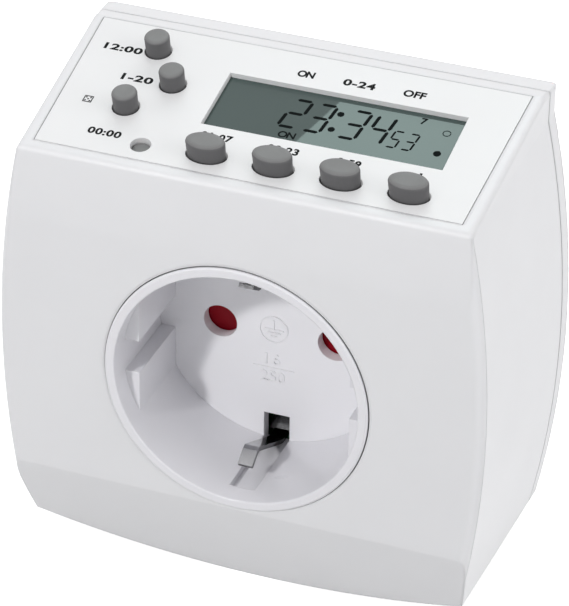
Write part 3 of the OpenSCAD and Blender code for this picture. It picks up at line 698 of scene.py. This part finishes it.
class Wardrobe:
    """Builds each finish the first time that it is asked for."""

    def __init__(self) -> None:
        """Makes the shared effects."""
        self.effects = Effects()
        self.made: dict[Finish, Material] = {}

    def dress(self, obj: Object, finish: Finish) -> None:
        """Gives an object one finish on all its faces.

        Args:
            obj: The object.
            finish: Its finish.
        """
        if finish not in self.made:
            self.made[finish] = finish.value.build(self.effects)
        obj.data.materials.clear()
        obj.data.materials.append(self.made[finish])

    def piece(self, name: str, drawing: "Drawing", finish: Finish) -> Object:
        """Turns a drawing into a finished piece that rides on the housing.

        Args:
            name: The piece's name.
            drawing: Its drawing.
            finish: Its finish.

        Returns:
            The new object.
        """
        obj = drawing.finished(name)
        self.dress(obj, finish)
        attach(obj, BODY)
        return obj


NODE_FINISHES: dict[Finish, str] = {
    Finish.SHELL: "front_shell rear_cover",
    Finish.PLATE: "panel_plate",
    Finish.SOCKET: "socket_insert",
    Finish.FLOOR: "socket_floor",
    Finish.PLUG: "plug_body",
    Finish.KEY: "key_clock key_program key_random key_reset key_day key_hour key_minute key_mode",
    Finish.SHUTTER: "shutter",
    Finish.FILM: "display_cell",
    Finish.FRAME: "display_frame",
    Finish.STRIP: "contact_strips",
    Finish.BOARD: "control_board main_board",
    Finish.ZINC: "housing_screws board_screws shutter_washer",
    Finish.NICKEL: "plug_pins",
    Finish.STRAP: "earth_strap_lower earth_bridge",
    Finish.SHADED_CLIP: "earth_strap_upper",
    Finish.SPRING: "shutter_spring",
    Finish.BRASS: "live_contact neutral_contact live_feed",
    Finish.CELL: "backup_battery",
    Finish.BLACK: "key_switches relay diodes",
    Finish.CABLE: "ribbon_cable",
    Finish.YELLOW: "mains_capacitor",
    Finish.BLUE: "smoothing_capacitor",
    Finish.DISC: "varistor",
    Finish.BROWN: "fuse",
    Finish.TAN: "resistors",
}


# ---- drawings


@dataclass
class Drawing:
    """A flat drawing that is raised into a mesh, all at one height, with sizes in mm."""

    place: Matrix  # transform from the drawing to the object's frame
    low: float  # height of its lower faces, in m
    high: float  # height of its upper faces, in m
    mesh: bmesh.types.BMesh = field(default_factory=bmesh.new)

    def _ring(self, outline: list[Point2], height: float) -> list[Corner]:
        """Adds the corners of an outline, given in metres, at one height."""
        return [self.mesh.verts.new(self.place @ Vector((x, y, height))) for x, y in outline]

    def prism(self, outline: list[Point2]) -> None:
        """Adds an upright prism.

        Args:
            outline: Its outline, anticlockwise, in m.
        """
        lower, upper = self._ring(outline, self.low), self._ring(outline, self.high)
        self.mesh.faces.new(lower[::-1])
        self.mesh.faces.new(upper)
        self._wall(lower, upper)

    def _wall(self, a: list[Corner], b: list[Corner]) -> None:
        """Adds the faces between two rings of corners."""
        for i, j in zip(range(len(a)), [*range(1, len(a)), 0]):
            self.mesh.faces.new((a[i], a[j], b[j], b[i]))

    @staticmethod
    def circle(centre: Point2, radius: float, steps: int) -> list[Point2]:
        """Gives the corners of a circle in metres.

        Args:
            centre: Its centre, in mm.
            radius: Its radius, in mm.
            steps: Number of corners.

        Returns:
            The corners, anticlockwise.
        """
        (x, y), r = mm(centre), radius * MM
        turns = (2 * math.pi * i / steps for i in range(steps))
        return [(x + r * math.cos(a), y + r * math.sin(a)) for a in turns]

    def disc(self, centre: Point2, radius: float, steps: int = 32) -> None:
        """Adds a flat disc."""
        self.prism(self.circle(centre, radius, steps))

    def box(self, low: Point2, high: Point2) -> None:
        """Adds a flat box between two corners."""
        (x0, y0), (x1, y1) = mm(low), mm(high)
        self.prism([(x0, y0), (x1, y0), (x1, y1), (x0, y1)])

    def ring(self, centre: Point2, inner: float, outer: float, steps: int = 48) -> None:
        """Adds a flat ring.

        Args:
            centre: Its centre.
            inner: Its inner radius.
            outer: Its outer radius.
            steps: Number of its corners.
        """
        sides = ((inner, self.low), (outer, self.low), (outer, self.high), (inner, self.high))
        loops = [self._ring(self.circle(centre, r, steps), h) for r, h in sides]
        for k in range(4):
            self._wall(loops[(k + 1) % 4], loops[k])

    def finished(self, name: str) -> Object:
        """Turns the drawing into an object of the scene, with its normals outwards.

        Args:
            name: The object's name.

        Returns:
            The new object.
        """
        bmesh.ops.recalc_face_normals(self.mesh, faces=self.mesh.faces)
        data = bpy.data.meshes.new(name)
        self.mesh.to_mesh(data)
        self.mesh.free()
        return placed(name, data)


@dataclass(frozen=True)
class Label:
    """One label of plain figures, which fills a rectangle of a drawing."""

    text: str
    x0: float  # left end, in mm
    x1: float  # right end
    t0: float  # lower edge, in mm up the drawing
    t1: float  # upper edge

    def _letters(self, bold: float, spacing: float) -> Mesh:
        """Makes the mesh of the figures, one unit thick.

        Args:
            bold: How much the strokes are thickened, as a share of the letter size.
            spacing: Spacing of the letters, 1 for the usual one.

        Returns:
            The new mesh.
        """
        curve = bpy.data.curves.new("figures", "FONT")
        curve.body = self.text
        curve.extrude = 0.5
        curve.offset = bold
        curve.space_character = spacing
        curve.resolution_u = 4
        holder = placed("figures", curve)
        graph = bpy.context.evaluated_depsgraph_get()
        data = bpy.data.meshes.new_from_object(holder.evaluated_get(graph))
        bpy.data.objects.remove(holder)
        bpy.data.curves.remove(curve)
        return data

    @staticmethod
    def _span(data: Mesh, axis: int) -> Point2:
        """Gives the lowest and highest coordinate of a mesh on an axis."""
        values = [v.co[axis] for v in data.vertices]
        return min(values), max(values)

    def draw(self, drawing: Drawing, bold: float) -> None:
        """Adds the figures to a drawing, first spaced and then stretched to fill the label.

        Args:
            drawing: The drawing.
            bold: How much the strokes are thickened.
        """
        low, high = mm((self.x0, self.t0)), mm((self.x1, self.t1))
        usual, wide, tightest, loosest = 1.0, 1.5, 0.85, 1.08
        widths = []
        for spacing in (usual, wide):
            data = self._letters(bold, spacing)
            bottom, top = self._span(data, 1)
            left, right = self._span(data, 0)
            widths.append(right - left)
            bpy.data.meshes.remove(data)
        scale = (high[1] - low[1]) / (top - bottom)
        spacing = usual
        if len(self.text) > 1:
            gain = (widths[1] - widths[0]) / (wide - usual)
            spacing = usual + ((high[0] - low[0]) / scale - widths[0]) / gain
        data = self._letters(bold, min(loosest, max(tightest, spacing)))
        left, right = self._span(data, 0)
        across = (high[0] - low[0]) / (right - left)
        for v in data.vertices:
            x, y = low[0] + (v.co.x - left) * across, low[1] + (v.co.y - bottom) * scale
            v.co = drawing.place @ Vector((x, y, drawing.low if v.co.z < 0 else drawing.high))
        drawing.mesh.from_mesh(data)
        bpy.data.meshes.remove(data)


# ---- display


class Segment(Enum):
    """The seven segments of a figure, as their ends on a unit figure: across and up."""

    TOP = ((0.0, 2.0), (1.0, 2.0))
    UPPER_RIGHT = ((1.0, 2.0), (1.0, 1.0))
    LOWER_RIGHT = ((1.0, 1.0), (1.0, 0.0))
    BOTTOM = ((0.0, 0.0), (1.0, 0.0))
    LOWER_LEFT = ((0.0, 1.0), (0.0, 0.0))
    UPPER_LEFT = ((0.0, 2.0), (0.0, 1.0))
    MIDDLE = ((0.0, 1.0), (1.0, 1.0))


LIT = {
    "2": "TOP UPPER_RIGHT MIDDLE LOWER_LEFT BOTTOM",
    "3": "TOP UPPER_RIGHT MIDDLE LOWER_RIGHT BOTTOM",
    "4": "UPPER_LEFT MIDDLE UPPER_RIGHT LOWER_RIGHT",
    "5": "TOP UPPER_LEFT MIDDLE LOWER_RIGHT BOTTOM",
}


@dataclass(frozen=True)
class Figure:
    """One seven-segment figure of the display."""

    value: str  # the figure shown
    x: float  # left end of the centre line of its lowest stroke, in mm
    t: float  # height of that line, up the slope, in mm
    width: float = 2.62  # width between its upright centre lines
    height: float = 6.28  # height between its outer level centre lines
    stroke: float = 0.54  # width of a stroke
    gap: float = 0.16  # gap between two strokes
    slant: float = 0.13  # how far it leans for each millimetre of its height

    def outline(self, segment: Segment) -> list[Point2]:
        """Gives the outline of one stroke: a bar with pointed ends, leaning with the figure.

        Args:
            segment: The stroke.

        Returns:
            Its corners, in m.
        """
        (ax, ay), (bx, by) = ((x * self.width, y * self.height / 2) for x, y in segment.value)
        length = math.hypot(bx - ax, by - ay)
        ux, uy = (bx - ax) / length, (by - ay) / length
        half, gap = self.stroke / 2, self.gap
        along = [(gap, 0), (gap + half, -half), (length - gap - half, -half), (length - gap, 0)]
        along += [(length - gap - half, half), (gap + half, half)]
        points = []
        for a, b in along:
            x, y = ax + ux * a - uy * b, ay + uy * a + ux * b
            points.append(mm((self.x + x + y * self.slant, self.t + y)))
        return points


@dataclass
class Display:
    """What the display shows: the time, the seconds and its small marks."""

    cell: float = -1.28 * MM  # height of the display cell above the panel, in m
    glass: float = GLASS_H  # height of the glass that lies on the cell
    corners: Corners = ((-10.8, 13.5), (27.06, 25.64))  # of the glass, in mm
    film: float = 0.025 * MM  # thickness of a dark segment, in m
    figures: tuple[Figure, ...] = (  # the seven-segment figures
        Figure("2", -0.08, 17.19),
        Figure("3", 3.84, 17.19),
        Figure("3", 9.34, 17.19),
        Figure("4", 13.26, 17.19),
        Figure("5", 16.92, 17.09, 1.42, 3.66, 0.3, 0.1),
        Figure("3", 19.29, 17.09, 1.42, 3.66, 0.3, 0.1),
    )
    words: tuple[Label, ...] = (  # the state and the figure of the weekday
        Label("ON", 0.70, 3.40, 14.71, 16.11),
        Label("7", 20.20, 21.15, 23.26, 24.66),
    )
    bold: float = 0.02  # how much their strokes are thickened
    colon: tuple[Point2, ...] = ((8.20, 22.06), (7.99, 18.43))  # centres of its dots, in mm
    colon_r: float = 0.54  # radius of those dots
    dot: Point2 = (24.83, 17.59)  # centre of the mark of the state that is on
    ring: Point2 = (24.80, 22.27)  # centre of the mark of the state that is off
    mark_r: float = 0.6  # radius of the dot
    ring_r: Point2 = (0.51, 0.65)  # inner and outer radius of the ring

    def build(self, wardrobe: Wardrobe) -> list[Object]:
        """Builds the pane, the dark segments and the faint ring.

        Args:
            wardrobe: Source of the finishes.

        Returns:
            The new objects.
        """
        place = PANEL.matrix(self.glass)
        pane = Drawing(PANEL.matrix(), self.cell, self.glass)
        dark, faint = Drawing(place, 0.0, self.film), Drawing(place, 0.0, self.film)
        pane.box(*self.corners)
        for figure in self.figures:
            for name in LIT[figure.value].split():
                dark.prism(figure.outline(Segment[name]))
        for centre in self.colon:
            dark.disc(centre, self.colon_r)
        dark.disc(self.dot, self.mark_r)
        for word in self.words:
            word.draw(dark, self.bold)
        faint.ring(self.ring, *self.ring_r)
        made = [
            wardrobe.piece("display_pane", pane, Finish.FILM),
            wardrobe.piece("display_figures", dark, Finish.SEGMENT),
            wardrobe.piece("display_off_mark", faint, Finish.FAINT),
        ]
        return made


# ---- printing and relief


@dataclass
class Printing:
    """The printed labels of the control panel."""

    labels: tuple[Label, ...] = (  # all the labels in figures
        Label("12:00", -31.9, -25.65, 25.85, 27.32),
        Label("1-20", -26.5, -21.4, 19.7, 21.2),
        Label("00:00", -26.6, -21.25, 6.8, 8.27),
        Label("ON", -0.95, 1.76, 27.7, 29.2),
        Label("0-24", 6.4, 11.5, 27.65, 29.15),
        Label("OFF", 15.95, 19.48, 27.7, 29.25),
        Label("01-07", -9.95, -4.9, 10.45, 11.93),
        Label("00-23", 0.6, 5.6, 10.45, 11.93),
        Label("0-59", 11.5, 15.3, 10.45, 11.93),
        Label("+1", 22.4, 24.6, 10.45, 11.93),
    )
    ink: float = 0.02 * MM  # thickness of the ink, in m
    bold: float = 0.035  # how much their strokes are thickened
    die: Point2 = (-30.1, 13.3)  # lower left corner of the mark of a die, in mm
    die_w: float = 1.45  # width of that mark
    die_line: float = 0.16  # width of its outline
    spot_r: float = 0.14  # radius of its spots
    spread: float = 0.35  # distance of its outer spots from its middle, on each axis

    def build(self, wardrobe: Wardrobe) -> list[Object]:
        """Builds all the labels as one thin print.

        Args:
            wardrobe: Source of the finishes.

        Returns:
            The new object, in a list.
        """
        drawing = Drawing(PANEL.matrix(), 0.0, self.ink)
        for label in self.labels:
            label.draw(drawing, self.bold)
        self._draw_die(drawing)
        obj = wardrobe.piece("panel_printing", drawing, Finish.INK)
        return [obj]

    def _draw_die(self, drawing: Drawing) -> None:
        """Adds the mark of the random programme: the face of a die with five spots.

        Args:
            drawing: The drawing of the panel.
        """
        (x, t), w, line = self.die, self.die_w, self.die_line
        drawing.box((x, t), (x + w, t + line))
        drawing.box((x, t + w - line), (x + w, t + w))
        drawing.box((x, t + line), (x + line, t + w - line))
        drawing.box((x + w - line, t + line), (x + w, t + w - line))
        for i, j in ((-1, -1), (1, -1), (0, 0), (-1, 1), (1, 1)):
            centre = (x + w / 2 + i * self.spread, t + w / 2 + j * self.spread)
            drawing.disc(centre, self.spot_r, 12)


@dataclass
class FloorRelief:
    """The raised marks on the floor of the recess: the earth symbol and two plain figures."""

    floor_y: float = -0.0383  # Y of the floor's visible face, in m
    raised: float = 0.16 * MM  # height of the marks, in m
    stroke: float = 0.24  # width of a line of the symbol, in mm
    centre: Point2 = (-0.57, 0.48)  # centre of the symbol: across and up
    radius: float = 2.3  # radius of the symbol's ring
    stem: float = 1.7  # height of the top of its stem above its centre
    # height and half width of each bar, from the stem down
    bars: tuple[Point2, ...] = ((0.0, 1.65), (-0.62, 1.1), (-1.24, 0.55))
    figures: tuple[Label, ...] = (  # the figures below the symbol
        Label("16", -1.95, 0.55, -6.0, -3.95),
        Label("250", -2.75, 1.35, -9.2, -7.15),
    )
    bold: float = 0.01  # how much their strokes are thickened
    line: Corners = ((-3.95, -6.62), (2.9, -6.48))  # corners of the line between them

    def build(self, wardrobe: Wardrobe) -> list[Object]:
        """Builds the symbol and the figures.

        Args:
            wardrobe: Source of the finishes.

        Returns:
            The new objects.
        """
        turn = Matrix.Rotation(math.radians(90), 4, "X")
        place = Matrix.Translation((0.0, self.floor_y, 0.0)) @ turn
        symbol, rating = Drawing(place, 0.0, self.raised), Drawing(place, 0.0, self.raised)
        (x, z), half = self.centre, self.stroke / 2
        symbol.ring(self.centre, self.radius - half, self.radius + half, 72)
        symbol.box((x - half, z + half), (x + half, z + self.stem))
        for drop, reach in self.bars:
            symbol.box((x - reach, z + drop - half), (x + reach, z + drop + half))
        for label in self.figures:
            label.draw(rating, self.bold)
        rating.box(*self.line)
        made = [
            wardrobe.piece("earth_mark", symbol, Finish.FLOOR),
            wardrobe.piece("rating_figures", rating, Finish.FLOOR),
        ]
        return made


# ---- stage, lamps and camera


@dataclass
class Stage:
    """The pale floor and the even surrounding light."""

    size: float = 6.0  # side of the floor, in m
    tone: Colour = (0.56, 0.56, 0.56)  # colour of the floor
    lift: float = 0.8  # extra brightness of the floor for the camera
    ambient: float = 0.4  # strength of the surrounding light
    air: Colour = (0.975, 0.98, 1.0)  # colour of the surrounding light

    @staticmethod
    def _seen(sheet: NodeSheet) -> Socket:
        """Tells the rays of the camera, of reflections and of clear materials from light.

        Args:
            sheet: The tree.

        Returns:
            1 for those rays, 0 for light.
        """
        path = sheet.add("ShaderNodeLightPath").outputs
        first = sheet.maths("MAXIMUM", path["Is Camera Ray"], path["Is Glossy Ray"])
        return sheet.maths("MAXIMUM", first, path["Is Transmission Ray"])

    def build(self, ground: float) -> None:
        """Builds the floor at a height and sets up the world.

        Args:
            ground: Height of the object's lowest point, in m.
        """
        mesh = bpy.data.meshes.new("floor")
        half = self.size / 2
        sides = ((-half, -half), (half, -half), (half, half), (-half, half))
        mesh.from_pydata([(x, y, ground) for x, y in sides], [], [(0, 1, 2, 3)])
        floor = placed("floor", mesh)
        surface = Surface("pale_floor")
        below = surface.geometry("Backfacing")
        material = surface.keep(
            Base_Color=self.tone,
            Roughness=0.9,
            Emission_Color=WHITE,
            Emission_Strength=surface.maths("MULTIPLY", self._seen(surface), self.lift),
            Alpha=surface.maths("SUBTRACT", 1.0, below),
        )
        floor.data.materials.append(material)
        floor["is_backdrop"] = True

        world = bpy.data.worlds.new("surroundings")
        bpy.context.scene.world = world
        world.use_nodes = True
        world.node_tree.nodes.clear()
        sky = NodeSheet(world.node_tree)
        seen = self._seen(sky)
        soft = sky.add("ShaderNodeBackground", Color=self.air, Strength=self.ambient)
        white = sky.add("ShaderNodeBackground", Color=WHITE, Strength=1.0)
        both = sky.add("ShaderNodeMixShader", i0=seen, i1=soft.outputs[0], i2=white.outputs[0])
        sky.add("ShaderNodeOutputWorld", Surface=both.outputs[0])


def area_lamp(name: str, size: Point2, power: float, tint: Colour = WHITE) -> Object:
    """Makes a rectangular lamp that the camera doesn't see.

    Args:
        name: Its name.
        size: Width and height, in m.
        power: Power in watts.
        tint: Colour of its light.

    Returns:
        The lamp's object.
    """
    lamp = bpy.data.lights.new(name, "AREA")
    lamp.shape = "RECTANGLE"
    lamp.size, lamp.size_y = size
    lamp.energy = power
    lamp.color = tint
    obj = placed(name, lamp)
    obj.visible_camera = False
    return obj


@dataclass(frozen=True)
class Softbox:
    """One area lamp, aimed at the middle of the object."""

    name: str
    azimuth: float  # direction it stands in, in degrees from the front towards the right
    elevation: float  # angle above the horizontal, in degrees
    distance: float  # distance from the object, in m
    size: Point2  # width and height, in m
    power: float  # in watts
    passes: bool = False  # true where the keys don't block its light
    mirrored: bool = True  # true where glossy faces mirror it

    def build(self, target: Vector, blockers: bpy.types.Collection) -> None:
        """Builds the lamp.

        Args:
            target: The point that it aims at.
            blockers: The pieces that block the light of a lamp that passes the keys.
        """
        a, e = math.radians(self.azimuth), math.radians(self.elevation)
        out = Vector((math.sin(a) * math.cos(e), -math.cos(a) * math.cos(e), math.sin(e)))
        obj = area_lamp(self.name, self.size, self.power)
        obj.location = target + out * self.distance
        obj.rotation_euler = out.to_track_quat("Z", "Y").to_euler()
        obj.visible_glossy = self.mirrored
        if self.passes:
            obj.light_linking.blocker_collection = blockers


@dataclass(frozen=True)
class ReflectorCard:
    """A small bright card whose edge is mirrored across the display's glass."""

    eye: Vector  # where the camera stands, in m
    upper: Point2 = (7.25, 25.35)  # upper end of the mirrored edge on the panel, in mm
    lower: Point2 = (3.91, 14.35)  # lower end of that edge
    middle: Point2 = (8.0, 19.4)  # middle of the glass
    aside: float = 10.0  # step that shows which way is right, in mm
    distance: float = 0.5  # distance of the card from the glass, in m
    size: Point2 = (0.16, 0.4)  # width and height, in m
    radiance: float = 2.75  # brightness of the card
    tint: Colour = (0.81, 1.05, 1.0)  # colour of its light

    @staticmethod
    def _on_glass(spot: Point2) -> Vector:
        """Gives a spot of the glass in the object's frame."""
        return PANEL.matrix(GLASS_H) @ Vector((*mm(spot), 0.0))

    def _mirrored(self, spot: Point2) -> Vector:
        """Gives the point that the eye sees in the glass at a spot of the panel."""
        at = self._on_glass(spot)
        return at + (at - self.eye).normalized().reflect(Vector(PANEL.up())) * self.distance

    def build(self) -> None:
        """Builds the card so that its left edge lies on the mirrored line."""
        top, bottom = self._mirrored(self.upper), self._mirrored(self.lower)
        middle = (top + bottom) / 2
        out = (middle - self._on_glass(self.middle)).normalized()
        edge = (top - bottom).normalized()
        edge = (edge - edge.dot(out) * out).normalized()
        across = edge.cross(out)
        beside = (self.upper[0] + self.aside, self.upper[1])
        if across.dot(self._mirrored(beside) - top) < 0:
            across = -across
        width, height = self.size
        power = self.radiance * math.pi * width * height
        obj = area_lamp("display_card", self.size, power, self.tint)
        facing = Matrix((across, out.cross(across), out)).transposed()
        obj.matrix_world = Matrix.Translation(middle + across * width / 2) @ facing.to_4x4()
        obj.visible_diffuse = False


@dataclass(frozen=True)
class Viewpoint:
    """The camera: where it stands and how it looks at the object."""

    eye: Vector3 = (0.14931, -0.43480, 0.26673)  # its place, in m
    yaw: float = 20.49306  # turn to the left of +Y, in degrees
    pitch: float = -31.65748  # tilt, negative downwards, in degrees
    roll: float = 0.78967  # in degrees
    lens: float = 191.87  # focal length, in mm
    sensor: float = 36.0  # width of the sensor, in mm
    clip: Point2 = (0.01, 20.0)  # nearest and farthest distance that it sees, in m

    def build(self) -> None:
        """Builds the camera and makes it the scene's own."""
        yaw, pitch, roll = (math.radians(v) for v in (self.yaw, self.pitch, self.roll))
        flat = math.cos(pitch)
        ahead = Vector((-math.sin(yaw) * flat, math.cos(yaw) * flat, math.sin(pitch)))
        level = ahead.cross(Vector((0, 0, 1))).normalized()
        above = level.cross(ahead)
        right = math.cos(roll) * level + math.sin(roll) * above
        up = -math.sin(roll) * level + math.cos(roll) * above
        camera = bpy.data.cameras.new("camera")
        camera.lens = self.lens
        camera.sensor_width = self.sensor
        camera.clip_start, camera.clip_end = self.clip
        obj = placed("camera", camera)
        facing = Matrix((right, up, -ahead)).transposed()
        obj.matrix_world = Matrix.Translation(self.eye) @ facing.to_4x4()
        bpy.context.scene.camera = obj


LAMPS = (
    Softbox("key_lamp", -20.9, 32.9, 1.0, (0.07, 0.07), 3.85, passes=True),
    Softbox("top_lamp", 0.0, 80.0, 1.2, (1.2, 1.0), 3.1, mirrored=False),
    Softbox("rear_lamp", 190.0, 28.0, 1.3, (1.2, 1.0), 8.0, mirrored=False),
    Softbox("right_lamp", 85.0, 12.0, 1.1, (0.8, 0.8), 5.7, mirrored=False),
)


# ---- the whole


def dress_nodes(nodes: dict[str, Object], wardrobe: Wardrobe) -> None:
    """Gives every node of the construction model its finish.

    Args:
        nodes: The nodes by name.
        wardrobe: Source of the finishes.
    """
    for finish, names in NODE_FINISHES.items():
        for name in names.split():
            wardrobe.dress(nodes[name], finish)
            LOG.info("node %s: %s", name, finish.name.lower())


def main() -> None:
    """Builds the scene, piece by piece."""
    logging.basicConfig(level=logging.INFO, format="%(name)s: %(message)s")
    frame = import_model()
    cad_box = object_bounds()
    bpy.context.scene.view_settings.view_transform = "Standard"
    wardrobe = Wardrobe()
    dress_nodes(frame["nodes"], wardrobe)
    for part in (Display(), Printing(), FloorRelief()):
        for obj in part.build(wardrobe):
            LOG.info("piece %s: %d faces", obj.name, len(obj.data.polygons))
    Stage().build(cad_box[0].z)
    target = (cad_box[0] + cad_box[1]) / 2
    blockers = bpy.data.collections.new("blockers")
    for name, node in frame["nodes"].items():
        if not name.startswith("key_"):
            blockers.objects.link(node)
    for lamp in LAMPS:
        lamp.build(target, blockers)
    viewpoint = Viewpoint()
    ReflectorCard(Vector(viewpoint.eye)).build()
    viewpoint.build()


if __name__ == "__main__":
    main()
